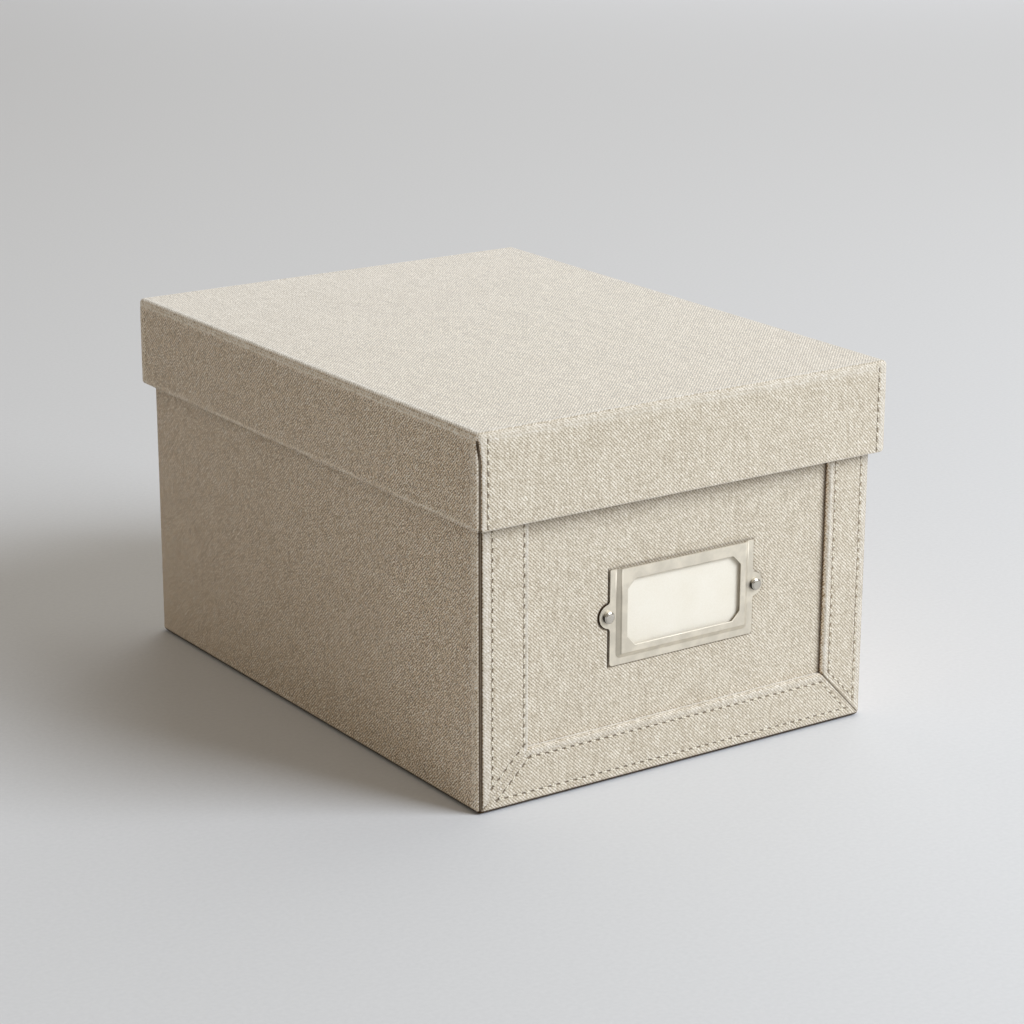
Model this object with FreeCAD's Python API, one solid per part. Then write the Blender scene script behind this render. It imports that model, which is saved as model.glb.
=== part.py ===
"""Linen-covered board box with a lift-off lid, a framed front and a label holder.

Millimetres, +Z up. The origin is at the bottom centre of the closed box, on the surface
that it stands on. The front, with the label holder, faces -Y, and X runs across it.
Every board is covered by linen on its outer side and by paper on its inner side.
"""
import FreeCAD, Part
import math
import os

Vector = FreeCAD.Vector

# ---------------------------------------------------------------- driving sizes

# The closed box
body_width = 200.0  # X, over the linen of the body
body_depth = 270.0  # Y, from the front bands to the back
closed_height = 160.0  # from the floor to the top of the lid
lid_height = 40.0  # from the top of the lid to the lower edge of its skirt
lid_side_clearance = 0.9  # air between the body and the lining of the lid, at each side
lid_end_clearance = 2.5  # the same at the front and at the back
edge_radius = 2.2  # outer edges of the body and the lid, over the linen

# The layers
board = 2.0  # grey board of walls, base and lid
cloth = 0.5  # linen
lining = 0.3  # lining paper
turn_in = 12.0  # linen folded over a rim and glued to the inner side
seam_gap = 1.2  # open seam where two covers meet at an upright corner
seam_bevel = 1.8  # bevel of the boards behind such a seam, which gives the folded linen room

# The frame on the front
band_board = 2.0  # board of the bands
left_band_width = 24.3
right_band_width = 22.7
bottom_band_height = 23.5

# The sewing
stitch_pitch = 4.2
stitch_length = 3.3
thread_width = 0.7
thread_height = 0.3  # how far a stitch stands out of the linen
left_outer_inset = 6.6  # from the upright edge of the body to the outer row of the left band
right_outer_inset = 4.7
left_inner_inset = 2.5  # from the inner edge of the left band to its inner row
right_inner_inset = 4.0
mitre_row_inset = 3.0  # from the mitre, on both of its sides
lower_row_inset = 4.6  # from the floor
upper_row_inset = 3.9  # from the upper edge of the bottom band
lid_row_inset = 4.8  # from the upright edge of the lid
row_end_margin = 1.5  # from the last stitch to a rim or an edge

# The label holder: stamped sheet with a flange, a slope and a raised ring
holder_width = 74.0  # over the flange, without the ears
holder_height = 41.3
holder_centre = 2.2  # X: the recess between the bands isn't quite in the middle either
holder_bottom = 49.3  # from the floor to the lower edge of the flange
sheet = 0.6
flange_width = 3.2
slope_width = 1.6
ring_width = 3.1  # at the sides and the bottom of the window
ring_top_width = 5.0  # above the window
ring_raise = 2.1  # from the panel to the front of the ring
window_chamfer = 4.0
flange_corner_radius = 1.3
ear_radius = 5.2
ear_blend_radius = 1.5

# The card in it
card_thickness = 0.4
card_clearance = 0.3  # beside and below the card
card_back_gap = 0.1  # between the card and the panel
card_headroom = 0.6  # from the top of the card to the top of the holder

# The rivets
rivet_outset = 1.0  # from the side of the flange to the middle of a rivet, which is in the ear
rivet_rise = 1.0  # above the middle of the holder; the ears sit there too
rivet_head_diameter = 5.2
rivet_head_height = 1.9
rivet_head_edge = 0.25  # rounding of the rim of the head
rivet_shank_diameter = 1.8
rivet_hole_clearance = 0.05  # on the radius
rivet_tail_diameter = 3.0
rivet_tail_height = 0.6
washer_diameter = 7.0
washer_thickness = 0.5

# ---------------------------------------------------------------- places worked out from them

half_width = body_width / 2
front = -body_depth / 2
back = body_depth / 2
lid_wall = cloth + board + lining
rim = closed_height - lid_wall  # the lid's lining rests on the rim of the body

panel = front + cloth + band_board  # face of the recessed front panel
front_board = panel + cloth  # outer side of the front wall board
front_inside = front_board + board
side_inside = half_width - cloth - board
back_inside = back - cloth - board
floor_top = cloth + board
lining_top = rim - turn_in  # the turned-in linen carries on above the lining

lid_half_width = half_width + lid_side_clearance + lid_wall
lid_half_depth = back + lid_end_clearance + lid_wall
lid_bottom = closed_height - lid_height
lid_board_top = closed_height - cloth
lid_ceiling = lid_board_top - board

mitre_foot = cloth - half_width  # the left mitre starts here, on top of the base cover
mitre_rise = bottom_band_height - cloth

holder_top = holder_bottom + holder_height
holder_middle = holder_bottom + holder_height / 2
rivet_level = holder_middle + rivet_rise
ring_rise = ring_raise - sheet  # from the flange's face to the ring's face
slope_shift = sheet * math.hypot(slope_width, ring_rise) / ring_rise
rivet_seat = panel - sheet

over = 1.0  # how far a cutting tool runs past what it cuts


# ---------------------------------------------------------------- shape helpers

def slab(x0, x1, y0, y1, z0, z1):
    """A box between the given limits."""
    return Part.makeBox(x1 - x0, y1 - y0, z1 - z0, Vector(x0, y0, z0))


def flat_face(corners):
    return Part.Face(Part.makePolygon(corners + corners[:1]))


def front_prism(points, y0, y1):
    """A prism along Y whose outline is a list of (x, z) points."""
    outline = flat_face([Vector(x, y0, z) for x, z in points])
    return outline.extrude(Vector(0, y1 - y0, 0))


def rod(x, z, diameter, y0, y1):
    """A cylinder along Y."""
    return Part.makeCylinder(diameter / 2, y1 - y0, Vector(x, y0, z), Vector(0, 1, 0))


def joined(*shapes):
    """One solid from shapes that touch or overlap."""
    whole = shapes[0]
    for shape in shapes[1:]:
        whole = whole.fuse(shape)
    return whole.removeSplitter()


def mirrored(shape):
    """The same piece on the other side of the box."""
    return shape.mirror(Vector(0, 0, 0), Vector(1, 0, 0))


def rounded(shape, radius, chosen):
    """Rounds the edges whose middle the test accepts."""
    edges = [edge for edge in shape.Edges if chosen(edge.CenterOfMass)]
    return shape.makeFillet(radius, edges)


def near(value, target):
    return abs(value - target) < 1e-4


# ---------------------------------------------------------------- body: boards

def seam_wedge(x, y, z0, z1):
    """What the bevel takes off an upright board corner that points away from the origin."""
    toward_x = -math.copysign(seam_bevel, x)
    toward_y = -math.copysign(seam_bevel, y)
    corners = [Vector(x, y, z0), Vector(x + toward_x, y, z0), Vector(x, y + toward_y, z0)]
    return flat_face(corners).extrude(Vector(0, 0, z1 - z0))


def body_block(inset):
    """The body's outline, moved in by an inset, with its upright and lower edges rounded."""
    side = half_width - inset
    block = slab(-side, side, front + inset, back - inset, inset, rim - inset)
    return rounded(block, edge_radius - inset, lambda c: near(c.z, inset) or near(c.z, rim / 2))


def body_boards():
    """The outline of the boards, bevelled behind the two open seams at the front."""
    block = body_block(cloth)
    for x in (cloth - half_width, half_width - cloth):
        block = block.cut(seam_wedge(x, front + cloth, cloth, rim))
    return block


def base_board():
    return slab(-side_inside, side_inside, front_inside, back_inside, cloth, floor_top)


def left_wall_board():
    wall = slab(cloth - half_width, -side_inside, panel, back_inside, cloth, rim - cloth)
    return wall.common(body_boards())


def back_wall_board():
    wall = slab(cloth - half_width, half_width - cloth, back_inside, back - cloth, cloth, rim - cloth)
    return wall.common(body_boards())


def front_wall_board():
    wall = slab(-side_inside, side_inside, front_board, front_inside, cloth, rim - cloth)
    return wall.cut(rivet_holes(front_board, front_inside))


# ---------------------------------------------------------------- body: linen

def body_skin():
    """A sheet of linen all over the outline of the body, without a top."""
    return body_block(0).cut(body_boards())


def base_cover():
    """Flat linen below the boards, from the front to the inner side of the back wall."""
    sheet_below = slab(-side_inside, side_inside, front, back_inside, 0, cloth)
    return sheet_below.common(body_block(0))


def wrap_cover():
    """Left, back and right in one piece, folded over the rim and turned in."""
    before = front - over
    fold_side = side_inside - cloth
    fold_back = back_inside - cloth
    seam_side = half_width - seam_gap
    skin = body_skin()
    skin = skin.cut(slab(-half_width, half_width, before, front + seam_gap, -over, rim + over))
    skin = skin.cut(slab(-seam_side, seam_side, before, panel, -over, rim + over))
    skin = skin.cut(slab(-side_inside, side_inside, before, back_inside, -over, cloth))
    skin = skin.cut(slab(-side_inside, side_inside, before, front_inside, -over, rim + over))
    skin = skin.cut(slab(-fold_side, fold_side, before, fold_back, -over, rim + over))
    side_lip = slab(cloth - half_width, seam_gap - half_width, before, panel, rim - cloth, rim + over)
    skin = skin.cut(side_lip).cut(mirrored(side_lip))
    fold = slab(-side_inside, side_inside, front_inside, back_inside, lining_top, rim - cloth)
    fold = fold.cut(slab(-fold_side, fold_side, before, fold_back, lining_top - over, rim))
    return joined(skin, fold)


def front_panel_cover():
    """The recessed panel, folded over the rim of the front wall."""
    face = slab(-side_inside, side_inside, panel, front_board, cloth, rim)
    over_rim = slab(-side_inside, side_inside, panel, front_inside, rim - cloth, rim)
    inset = side_inside - cloth
    fold = slab(-inset, inset, front_inside, front_inside + cloth, lining_top, rim)
    cover = joined(face, over_rim, fold)
    return cover.cut(rivet_holes(panel, front_board))


# ---------------------------------------------------------------- body: front frame

# Both side bands are made as the left one, from their width, and the right one is mirrored.

def mitre_height(x, width, offset=0.0):
    """Height of the mitre at x, moved square to itself by an offset (upwards positive)."""
    run = width - cloth
    return cloth + (x - mitre_foot) * mitre_rise / run + offset * math.hypot(run, mitre_rise) / run


def mitre_place(z, width, offset=0.0):
    """X of the mitre at height z, moved square to itself by an offset (upwards positive)."""
    run = width - cloth
    return mitre_foot + (z - cloth) * run / mitre_rise - offset * math.hypot(run, mitre_rise) / mitre_rise


def side_band(width, y0, y1, outer, inner, top):
    """A slice of a side band, between two X limits and up to a top."""
    foot, head = mitre_height(outer, width), mitre_height(inner, width)
    return front_prism([(outer, foot), (inner, head), (inner, top), (outer, top)], y0, y1)


def bottom_band(y0, y1, bottom, top):
    """A slice of the bottom band, between two heights."""
    left = [(mitre_place(z, left_band_width), z) for z in (bottom, top)]
    right = [(-mitre_place(z, right_band_width), z) for z in (top, bottom)]
    return front_prism(left + right, y0, y1)


def side_band_board(width):
    inner = width - half_width - cloth
    strip = side_band(width, front + cloth, panel, cloth - half_width, inner, rim - cloth)
    return strip.common(body_boards())


def side_band_cover(width):
    """Linen over the front, the inner edge and the upper end of the band."""
    strip = side_band(width, front, panel, seam_gap - half_width, width - half_width, rim)
    return strip.common(body_block(0)).cut(side_band_board(width))


def bottom_band_board():
    strip = bottom_band(front + cloth, panel, cloth, bottom_band_height - cloth)
    return strip.common(body_boards())


def bottom_band_cover():
    """Linen over the front and the upper edge of the band."""
    strip = bottom_band(front, panel, cloth, bottom_band_height)
    seam = slab(-half_width, seam_gap - half_width, front, panel, 0, bottom_band_height)
    return strip.common(body_block(0)).cut(bottom_band_board()).cut(seam).cut(mirrored(seam))


# ---------------------------------------------------------------- body: lining

def floor_lining():
    side = side_inside - lining
    return slab(-side, side, front_inside + lining, back_inside - lining, floor_top, floor_top + lining)


def left_lining():
    return slab(-side_inside, lining - side_inside, front_inside, back_inside, floor_top, lining_top)


def back_lining():
    side = side_inside - lining
    return slab(-side, side, back_inside - lining, back_inside, floor_top, lining_top)


def front_lining():
    side = side_inside - lining
    sheet_in = slab(-side, side, front_inside, front_inside + lining, floor_top, lining_top)
    return sheet_in.cut(rivet_holes(front_inside, front_inside + lining))


# ---------------------------------------------------------------- sewing

def stitch_row(start, end, y0, y1):
    """Separate stitches between two (x, z) points, standing from y0 to y1."""
    run_x = end[0] - start[0]
    run_z = end[1] - start[1]
    length = math.hypot(run_x, run_z)
    count = max(1, round(length / stitch_pitch))
    tilt = -math.degrees(math.atan2(run_z, run_x))
    half_long = stitch_length / 2
    half_wide = thread_width / 2
    stitches = []
    for index in range(count):
        share = (index + 0.5) / count
        stitch = slab(-half_long, half_long, 0, y1 - y0, -half_wide, half_wide)
        stitch.rotate(Vector(0, 0, 0), Vector(0, 1, 0), tilt)
        stitch.translate(Vector(start[0] + share * run_x, y0, start[1] + share * run_z))
        stitches.append(stitch)
    return stitches


def lower_end(width):
    """Where the lower row of the bottom band meets the row along the mitre."""
    return mitre_place(lower_row_inset, width, -mitre_row_inset), lower_row_inset


def upper_end(width):
    """The same for its upper row."""
    z = bottom_band_height - upper_row_inset
    return mitre_place(z, width, -mitre_row_inset), z


def side_rows(width, outer_inset, inner_inset):
    """Ends of the rows of a side band, and of the rows along both sides of its mitre."""
    outer = outer_inset - half_width
    inner = width - half_width - inner_inset
    top = rim - row_end_margin
    outer_foot = (outer, mitre_height(outer, width, mitre_row_inset))
    inner_foot = (inner, mitre_height(inner, width, mitre_row_inset))
    return [
        (outer_foot, (outer, top)),
        (inner_foot, (inner, top)),
        (outer_foot, inner_foot),
        (lower_end(width), upper_end(width)),
    ]


def frame_stitching():
    """Rows along both edges of each band and along both sides of each mitre."""
    y0 = front - thread_height
    stitches = []
    for start, end in side_rows(left_band_width, left_outer_inset, left_inner_inset):
        stitches += stitch_row(start, end, y0, front)
    for start, end in side_rows(right_band_width, right_outer_inset, right_inner_inset):
        stitches += [mirrored(stitch) for stitch in stitch_row(start, end, y0, front)]
    for row_end in (lower_end, upper_end):
        right_x, z = row_end(right_band_width)
        stitches += stitch_row(row_end(left_band_width), (-right_x, z), y0, front)
    return Part.makeCompound(stitches)


def lid_stitching():
    """One upright row at each end of the front and the back skirt."""
    place = lid_half_width - lid_row_inset
    foot = lid_bottom + row_end_margin
    head = closed_height - edge_radius - row_end_margin
    stitches = []
    for x in (-place, place):
        for y0 in (-lid_half_depth - thread_height, lid_half_depth):
            stitches += stitch_row((x, foot), (x, head), y0, y0 + thread_height)
    return Part.makeCompound(stitches)


# ---------------------------------------------------------------- label holder and card

def hollow_half_width(depth):
    """Half width of the pocket behind the ring, at a depth measured out from the panel."""
    foot = holder_width / 2 - flange_width - slope_shift
    return foot - (depth - sheet) * slope_width / ring_rise


def hollow_bottom(depth):
    """Height of the pocket's lower end at the same depth."""
    foot = holder_bottom + flange_width + slope_shift
    return foot + (depth - sheet) * slope_width / ring_rise


def sloped_block(depths, halves, bottoms, top):
    """A block in front of the panel, from its foot to its face, with sloped sides and lower end."""
    rings = []
    for depth, half, bottom in zip(depths, halves, bottoms):
        y = panel - depth
        rings.append([
            Vector(-half, y, bottom), Vector(half, y, bottom), Vector(half, y, top), Vector(-half, y, top)])
    foot, face = rings
    faces = [flat_face(foot), flat_face(face)]
    for here in range(4):
        after = (here + 1) % 4
        faces.append(flat_face([foot[here], foot[after], face[after], face[here]]))
    return Part.makeSolid(Part.makeShell(faces))


def holder_plate():
    """The flat flange with an ear at each side."""
    half = holder_width / 2
    plate = slab(-half, half, panel - sheet, panel, holder_bottom, holder_top)
    plate = rounded(plate, flange_corner_radius,
                    lambda c: near(abs(c.x), half) and near(c.y, panel - sheet / 2))
    ears = [rod(x, rivet_level, 2 * ear_radius, panel - sheet, panel) for x in (-half, half)]
    plate = joined(plate, *ears)
    return rounded(plate, ear_blend_radius,
                   lambda c: near(abs(c.x), half) and near(abs(c.z - rivet_level), ear_radius)
                   and near(c.y, panel - sheet / 2))


def window(y0, y1):
    """The opening in the ring, with its corners cut off."""
    half = holder_width / 2 - flange_width - slope_width - ring_width
    bottom = holder_bottom + flange_width + slope_width + ring_width
    top = holder_top - ring_top_width
    cut = window_chamfer
    points = [
        (cut - half, bottom), (half - cut, bottom), (half, bottom + cut), (half, top - cut),
        (half - cut, top), (cut - half, top), (-half, top - cut), (-half, bottom + cut),
    ]
    return front_prism(points, y0, y1)


def label_holder():
    foot_half = holder_width / 2 - flange_width
    foot_bottom = holder_bottom + flange_width
    outside = sloped_block(
        (sheet, ring_raise), (foot_half, foot_half - slope_width),
        (foot_bottom, foot_bottom + slope_width), holder_top)
    depths = (0, ring_raise - sheet)
    pocket = sloped_block(
        depths, [hollow_half_width(depth) for depth in depths],
        [hollow_bottom(depth) for depth in depths], holder_top + over)
    holder = joined(holder_plate(), outside)
    holder = holder.cut(pocket).cut(window(panel - ring_raise - over, panel + over))
    holder.translate(Vector(holder_centre, 0, 0))
    return holder.cut(rivet_holes(panel - sheet, panel))


def label_card():
    face_depth = card_back_gap + card_thickness
    half = hollow_half_width(face_depth) - card_clearance
    bottom = hollow_bottom(face_depth) + card_clearance
    left, right = holder_centre - half, holder_centre + half
    return slab(left, right, panel - face_depth, panel - card_back_gap, bottom, holder_top - card_headroom)


# ---------------------------------------------------------------- rivets

def rivet_places():
    place = holder_width / 2 + rivet_outset
    return holder_centre - place, holder_centre + place


def rivet_holes(y0, y1):
    """Both rivet holes between two depths, a little longer than what they go through."""
    diameter = rivet_shank_diameter + 2 * rivet_hole_clearance
    holes = [rod(x, rivet_level, diameter, y0 - over, y1 + over) for x in rivet_places()]
    return Part.makeCompound(holes)


def label_rivets():
    """Flat-headed rivets, closed by a tail on the washer inside."""
    washer_seat = front_inside + lining
    tail_seat = washer_seat + washer_thickness
    rivets = []
    for x in rivet_places():
        head = rod(x, rivet_level, rivet_head_diameter, rivet_seat - rivet_head_height, rivet_seat)
        head = rounded(head, rivet_head_edge, lambda c: near(c.y, rivet_seat - rivet_head_height))
        shank = rod(x, rivet_level, rivet_shank_diameter, rivet_seat, tail_seat)
        tail = rod(x, rivet_level, rivet_tail_diameter, tail_seat, tail_seat + rivet_tail_height)
        rivets.append(joined(head, shank, tail))
    return Part.makeCompound(rivets)


def rivet_washers():
    seat = front_inside + lining
    discs = [rod(x, rivet_level, washer_diameter, seat, seat + washer_thickness) for x in rivet_places()]
    return Part.makeCompound([disc.cut(rivet_holes(seat, seat + washer_thickness)) for disc in discs])


# ---------------------------------------------------------------- lid

def lid_block(inset):
    """The lid's outline, moved in by an inset, with its upright and top edges rounded."""
    half_x = lid_half_width - inset
    half_y = lid_half_depth - inset
    top = closed_height - inset
    bottom = lid_bottom + inset
    block = slab(-half_x, half_x, -half_y, half_y, bottom, top)
    return rounded(block, edge_radius - inset, lambda c: near(c.z, top) or near(c.z, (bottom + top) / 2))


def lid_boards():
    """The outline of the lid's boards, bevelled behind the open seams at its four corners."""
    block = lid_block(cloth)
    for x in (cloth - lid_half_width, lid_half_width - cloth):
        for y in (cloth - lid_half_depth, lid_half_depth - cloth):
            block = block.cut(seam_wedge(x, y, lid_bottom, lid_ceiling))
    return block


def lid_inside(inset, z0, z1):
    """A block that fills the lid between its skirt boards."""
    half_x = lid_half_width - cloth - board - inset
    half_y = lid_half_depth - cloth - board - inset
    return slab(-half_x, half_x, -half_y, half_y, z0, z1)


def lid_top_board():
    sheet_on_top = slab(-lid_half_width, lid_half_width, -lid_half_depth, lid_half_depth,
                        lid_ceiling, lid_board_top)
    return sheet_on_top.common(lid_boards())


def lid_left_board():
    outer = lid_half_width - cloth
    long = lid_half_depth - cloth
    wall = slab(-outer, board - outer, -long, long, lid_bottom + cloth, lid_ceiling)
    return wall.common(lid_boards())


def lid_front_board():
    side = lid_half_width - cloth - board
    outer = lid_half_depth - cloth
    return slab(-side, side, -outer, board - outer, lid_bottom + cloth, lid_ceiling)


def lid_cover():
    """Top and skirts in one piece, turned in at the lower edge, open at the upright corners."""
    fold = lid_inside(0, lid_bottom, lid_bottom + turn_in)
    inside = lid_inside(cloth, lid_bottom - over, lid_bottom + turn_in + over)
    skin = lid_block(0).cut(lid_boards()).cut(lid_inside(0, lid_bottom + cloth, lid_ceiling))
    cover = joined(skin, fold).cut(inside)
    seam_top = closed_height - edge_radius
    for sign_x in (-1, 1):
        for sign_y in (-1, 1):
            corner = slab(-seam_gap, seam_gap, -seam_gap, seam_gap, lid_bottom - over, seam_top)
            corner.translate(Vector(sign_x * lid_half_width, sign_y * lid_half_depth, 0))
            cover = cover.cut(corner)
    return cover


def lid_top_lining():
    return lid_inside(0, lid_ceiling - lining, lid_ceiling)


def lid_skirt_lining():
    z0 = lid_bottom + turn_in
    z1 = lid_ceiling - lining
    return lid_inside(0, z0, z1).cut(lid_inside(lining, z0 - over, z1 + over))


# ---------------------------------------------------------------- the pieces

def pieces():
    """Every piece by its name."""
    left_wall = left_wall_board()
    left_paper = left_lining()
    lid_left = lid_left_board()
    lid_front = lid_front_board()
    return {
        "base_board": base_board(),
        "left_wall_board": left_wall,
        "right_wall_board": mirrored(left_wall),
        "back_wall_board": back_wall_board(),
        "front_wall_board": front_wall_board(),
        "left_band_board": side_band_board(left_band_width),
        "right_band_board": mirrored(side_band_board(right_band_width)),
        "bottom_band_board": bottom_band_board(),
        "base_cover": base_cover(),
        "wrap_cover": wrap_cover(),
        "front_panel_cover": front_panel_cover(),
        "left_band_cover": side_band_cover(left_band_width),
        "right_band_cover": mirrored(side_band_cover(right_band_width)),
        "bottom_band_cover": bottom_band_cover(),
        "floor_lining": floor_lining(),
        "left_lining": left_paper,
        "right_lining": mirrored(left_paper),
        "back_lining": back_lining(),
        "front_lining": front_lining(),
        "frame_stitching": frame_stitching(),
        "label_holder": label_holder(),
        "label_rivets": label_rivets(),
        "rivet_washers": rivet_washers(),
        "label_card": label_card(),
        "lid_top_board": lid_top_board(),
        "lid_left_board": lid_left,
        "lid_right_board": mirrored(lid_left),
        "lid_front_board": lid_front,
        "lid_back_board": lid_front.mirror(Vector(0, 0, 0), Vector(0, 1, 0)),
        "lid_cover": lid_cover(),
        "lid_top_lining": lid_top_lining(),
        "lid_skirt_lining": lid_skirt_lining(),
        "lid_stitching": lid_stitching(),
    }


os.makedirs("parts", exist_ok=True)
for name, shape in pieces().items():
    shape.exportStep(f"parts/{name}.step")
    print(f"{name:20s} solids {len(shape.Solids):4d} volume {shape.Volume:12.1f} valid {shape.isValid()}")
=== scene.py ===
"""Looks of a linen-covered file box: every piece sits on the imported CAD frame.

Lengths are written in millimetres and turned into metres where a mesh is made. The box stands
on the floor at z 0 with its front towards -Y, and its linen is one weave all over.
"""
import bpy
import bmesh
import random
from math import atan, atan2, copysign, cos, exp, hypot, pi, radians, sin, sqrt
from mathutils import Matrix, Vector, noise
from mathutils.geometry import delaunay_2d_cdt


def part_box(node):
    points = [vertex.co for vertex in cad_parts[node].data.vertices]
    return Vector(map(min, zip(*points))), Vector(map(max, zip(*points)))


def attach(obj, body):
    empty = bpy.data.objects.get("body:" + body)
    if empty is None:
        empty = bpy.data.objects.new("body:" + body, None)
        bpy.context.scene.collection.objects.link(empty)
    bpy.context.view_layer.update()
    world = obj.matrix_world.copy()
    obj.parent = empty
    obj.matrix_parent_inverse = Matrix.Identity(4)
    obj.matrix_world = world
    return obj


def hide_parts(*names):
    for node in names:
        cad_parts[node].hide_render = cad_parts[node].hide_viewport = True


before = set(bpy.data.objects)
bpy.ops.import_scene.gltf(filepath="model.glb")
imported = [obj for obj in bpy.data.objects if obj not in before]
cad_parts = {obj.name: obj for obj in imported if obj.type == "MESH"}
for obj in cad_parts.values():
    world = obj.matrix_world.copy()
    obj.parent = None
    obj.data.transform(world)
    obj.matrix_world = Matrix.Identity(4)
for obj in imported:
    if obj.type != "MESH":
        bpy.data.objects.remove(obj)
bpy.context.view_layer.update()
scene = bpy.context.scene
MM = 0.001

# ---------------------------------------------------------------- sizes, as in the CAD source

HALF_X, HALF_Y = 100.0, 135.0  # the body, over the linen
LID_X, LID_Y, LID_TOP = 103.7, 140.3, 160.0
LID_FOOT = 121.0  # where the cloth of the skirt starts to turn under
RIM = 157.2
EDGE = 2.2  # rounding of the outer edges
PANEL = -132.5  # face of the recessed panel
BAND_BACK = 2.62  # from the face of a band to the end of its cloth, just behind the panel's face
LINING_TOP = 145.2
CLOTH = 0.45
FOOT = 0.5  # the base's linen, on which the mitres start
RIM_BEND, TURNED_IN = 1.1, 3.0  # linen over a rim: its rounding, and how deep its inner face lies
LEFT_BAND, RIGHT_BAND, BAND_TOP = 24.3, 22.7, 23.5  # widths of the side bands, top of the lower one
LEFT_MITRE, RIGHT_MITRE = 0.12, 0.5  # depth of the crease between two bands
MITRE_CREASE = 0.34  # half its width
LEFT_ROWS, RIGHT_ROWS = (6.6, 21.8), (4.7, 18.7)  # from the side of the box to both rows
LOWER_ROW, UPPER_ROW = 4.6, 19.6
MITRE_OFFSET = 3.0
LID_ROW = 98.9
STITCH_PITCH, STITCH_LENGTH = 4.2, 2.5
HOLDER_X, HOLDER_Z0, HOLDER_Z1 = 2.2, 49.3, 90.6
RIVET_Z = 70.95


# ---------------------------------------------------------------- shader nodes

class Value:
    """A node's output that takes part in sums. Every operator adds one math node."""

    def __init__(self, shader, socket):
        self.shader, self.socket = shader, socket

    def __add__(self, other):
        return self.shader.math("ADD", self, other)

    def __sub__(self, other):
        return self.shader.math("SUBTRACT", self, other)

    def __rsub__(self, other):
        return self.shader.math("SUBTRACT", other, self)

    def __mul__(self, other):
        return self.shader.math("MULTIPLY", self, other)

    def __truediv__(self, other):
        return self.shader.math("DIVIDE", self, other)

    def fit(self, gain, offset):
        """Itself times a gain, plus an offset."""
        return self.shader.math("MULTIPLY_ADD", self, gain, offset)


class Shader:
    """One node material. Each call adds nodes and returns a Value."""

    def __init__(self, name):
        self.material = bpy.data.materials.new(name)
        self.material.use_nodes = True
        self.tree = self.material.node_tree
        self.tree.nodes.clear()

    def node(self, kind, *values, inputs=(), **settings):
        """A node whose first inputs are fed from values, and others by their name or number."""
        made = self.tree.nodes.new("ShaderNode" + kind)
        for key, value in settings.items():
            setattr(made, key, value)
        for key, value in (*enumerate(values), *inputs):
            if isinstance(value, Value):
                self.tree.links.new(value.socket, made.inputs[key])
            else:
                made.inputs[key].default_value = value
        return made

    def value(self, made, output=0):
        return Value(self, made.outputs[output])

    def math(self, operation, *values, clamp=False):
        return self.value(self.node("Math", *values, operation=operation, use_clamp=clamp))

    def smooth(self, value, low, high, to_low=0.0, to_high=1.0):
        ends = low, high, to_low, to_high
        return self.value(self.node("MapRange", value, *ends, interpolation_type="SMOOTHSTEP"))

    def mix(self, factor, one, other, kind="MIX"):
        inputs = ("Factor", factor), (6, one), (7, other)
        return self.value(self.node("Mix", inputs=inputs, data_type="RGBA", blend_type=kind), 2)

    def tint(self, factor, colour, *gains):
        """The colour times a gain for red, green and blue, as far as the factor says."""
        return self.mix(factor, colour, self.mix(1.0, colour, (*gains, 1.0), "MULTIPLY"))

    def vector(self, x, y, z=0.0):
        return self.value(self.node("CombineXYZ", x, y, z))

    def split(self, vector):
        made = self.node("SeparateXYZ", vector)
        return [self.value(made, axis) for axis in range(3)]

    def noise(self, vector, scale=1.0, detail=2.0, rough=0.5):
        inputs = ("Vector", vector), ("Scale", scale), ("Detail", detail), ("Roughness", rough)
        return self.value(self.node("TexNoise", inputs=inputs), "Fac")

    def dice(self, x, y):
        """An even random number for each pair of whole numbers."""
        inputs = [("Vector", self.vector(x, y))]
        return self.value(self.node("TexWhiteNoise", inputs=inputs, noise_dimensions="2D"), "Value")

    def cloth(self):
        """Across and along the piece's own cloth."""
        return self.split(self.value(self.node("UVMap", uv_map="cloth")))[:2]

    def place(self):
        return self.value(self.node("TexCoord"), "Object")

    def facing(self):
        """X, Y and Z of the way that the surface looks."""
        return self.split(self.value(self.node("TexCoord"), "Normal"))

    def shade(self):
        return self.value(self.node("Attribute", attribute_name="shade"), "Fac")

    def ramp(self, value, *stops):
        made = self.node("ValToRGB", value)
        band = made.color_ramp
        while len(band.elements) < len(stops):
            band.elements.new(0.5)
        for element, (position, colour) in zip(band.elements, stops):
            element.position, element.color = position, colour
        return self.value(made)

    def bump(self, height, distance, strength):
        inputs = ("Distance", distance), ("Strength", strength), ("Height", height)
        return self.value(self.node("Bump", inputs=inputs))

    def finish(self, colour, rough, **more):
        """The material; more holds other inputs, with _ for the spaces in their names."""
        inputs = [("Base Color", colour), ("Roughness", rough)]
        inputs += [(key.replace("_", " "), value) for key, value in more.items()]
        self.node("OutputMaterial", self.value(self.node("BsdfPrincipled", inputs=inputs)))
        return self.material


def srgb(*levels):
    """Linear colour, opaque, from display levels of 0 to 255, all above 10."""
    return *(((c / 255 + 0.055) / 1.055) ** 2.4 for c in levels), 1.0


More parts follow.
